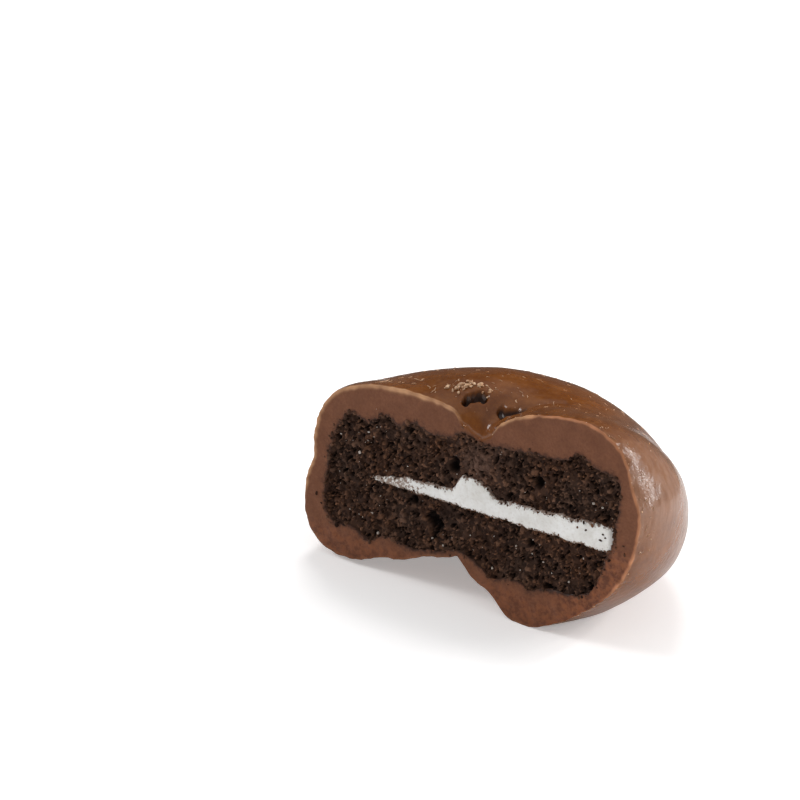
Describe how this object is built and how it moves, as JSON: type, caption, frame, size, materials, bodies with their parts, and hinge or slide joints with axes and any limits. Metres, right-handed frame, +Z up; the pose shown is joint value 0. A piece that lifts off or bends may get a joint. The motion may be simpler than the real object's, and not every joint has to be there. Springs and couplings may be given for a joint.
{
  "type": "chocolate sandwich cookie half",
  "caption": "Half of a milk chocolate coated sandwich cookie, cut through the middle to show dark cocoa wafers and a wedge of white cream.",
  "frame": {"origin": "on the surface it stands on, under the middle of its box", "axes": "+Z up, +X to the right along the cut face, +Y back from the cut face, which looks along -Y"},
  "size_m": [0.0294, 0.0162, 0.0161],
  "materials": {
    "milk_chocolate": "polished milk chocolate with a soft sheen, matt where it is cut",
    "cocoa_wafer": "dark porous cocoa crumb, matt",
    "white_cream": "smooth white sugar cream, satin"
  },
  "bodies": {
    "root": {"coating": "milk_chocolate", "upper_wafer": "cocoa_wafer", "lower_wafer": "cocoa_wafer", "cream": "white_cream"}
  },
  "joints": []
}
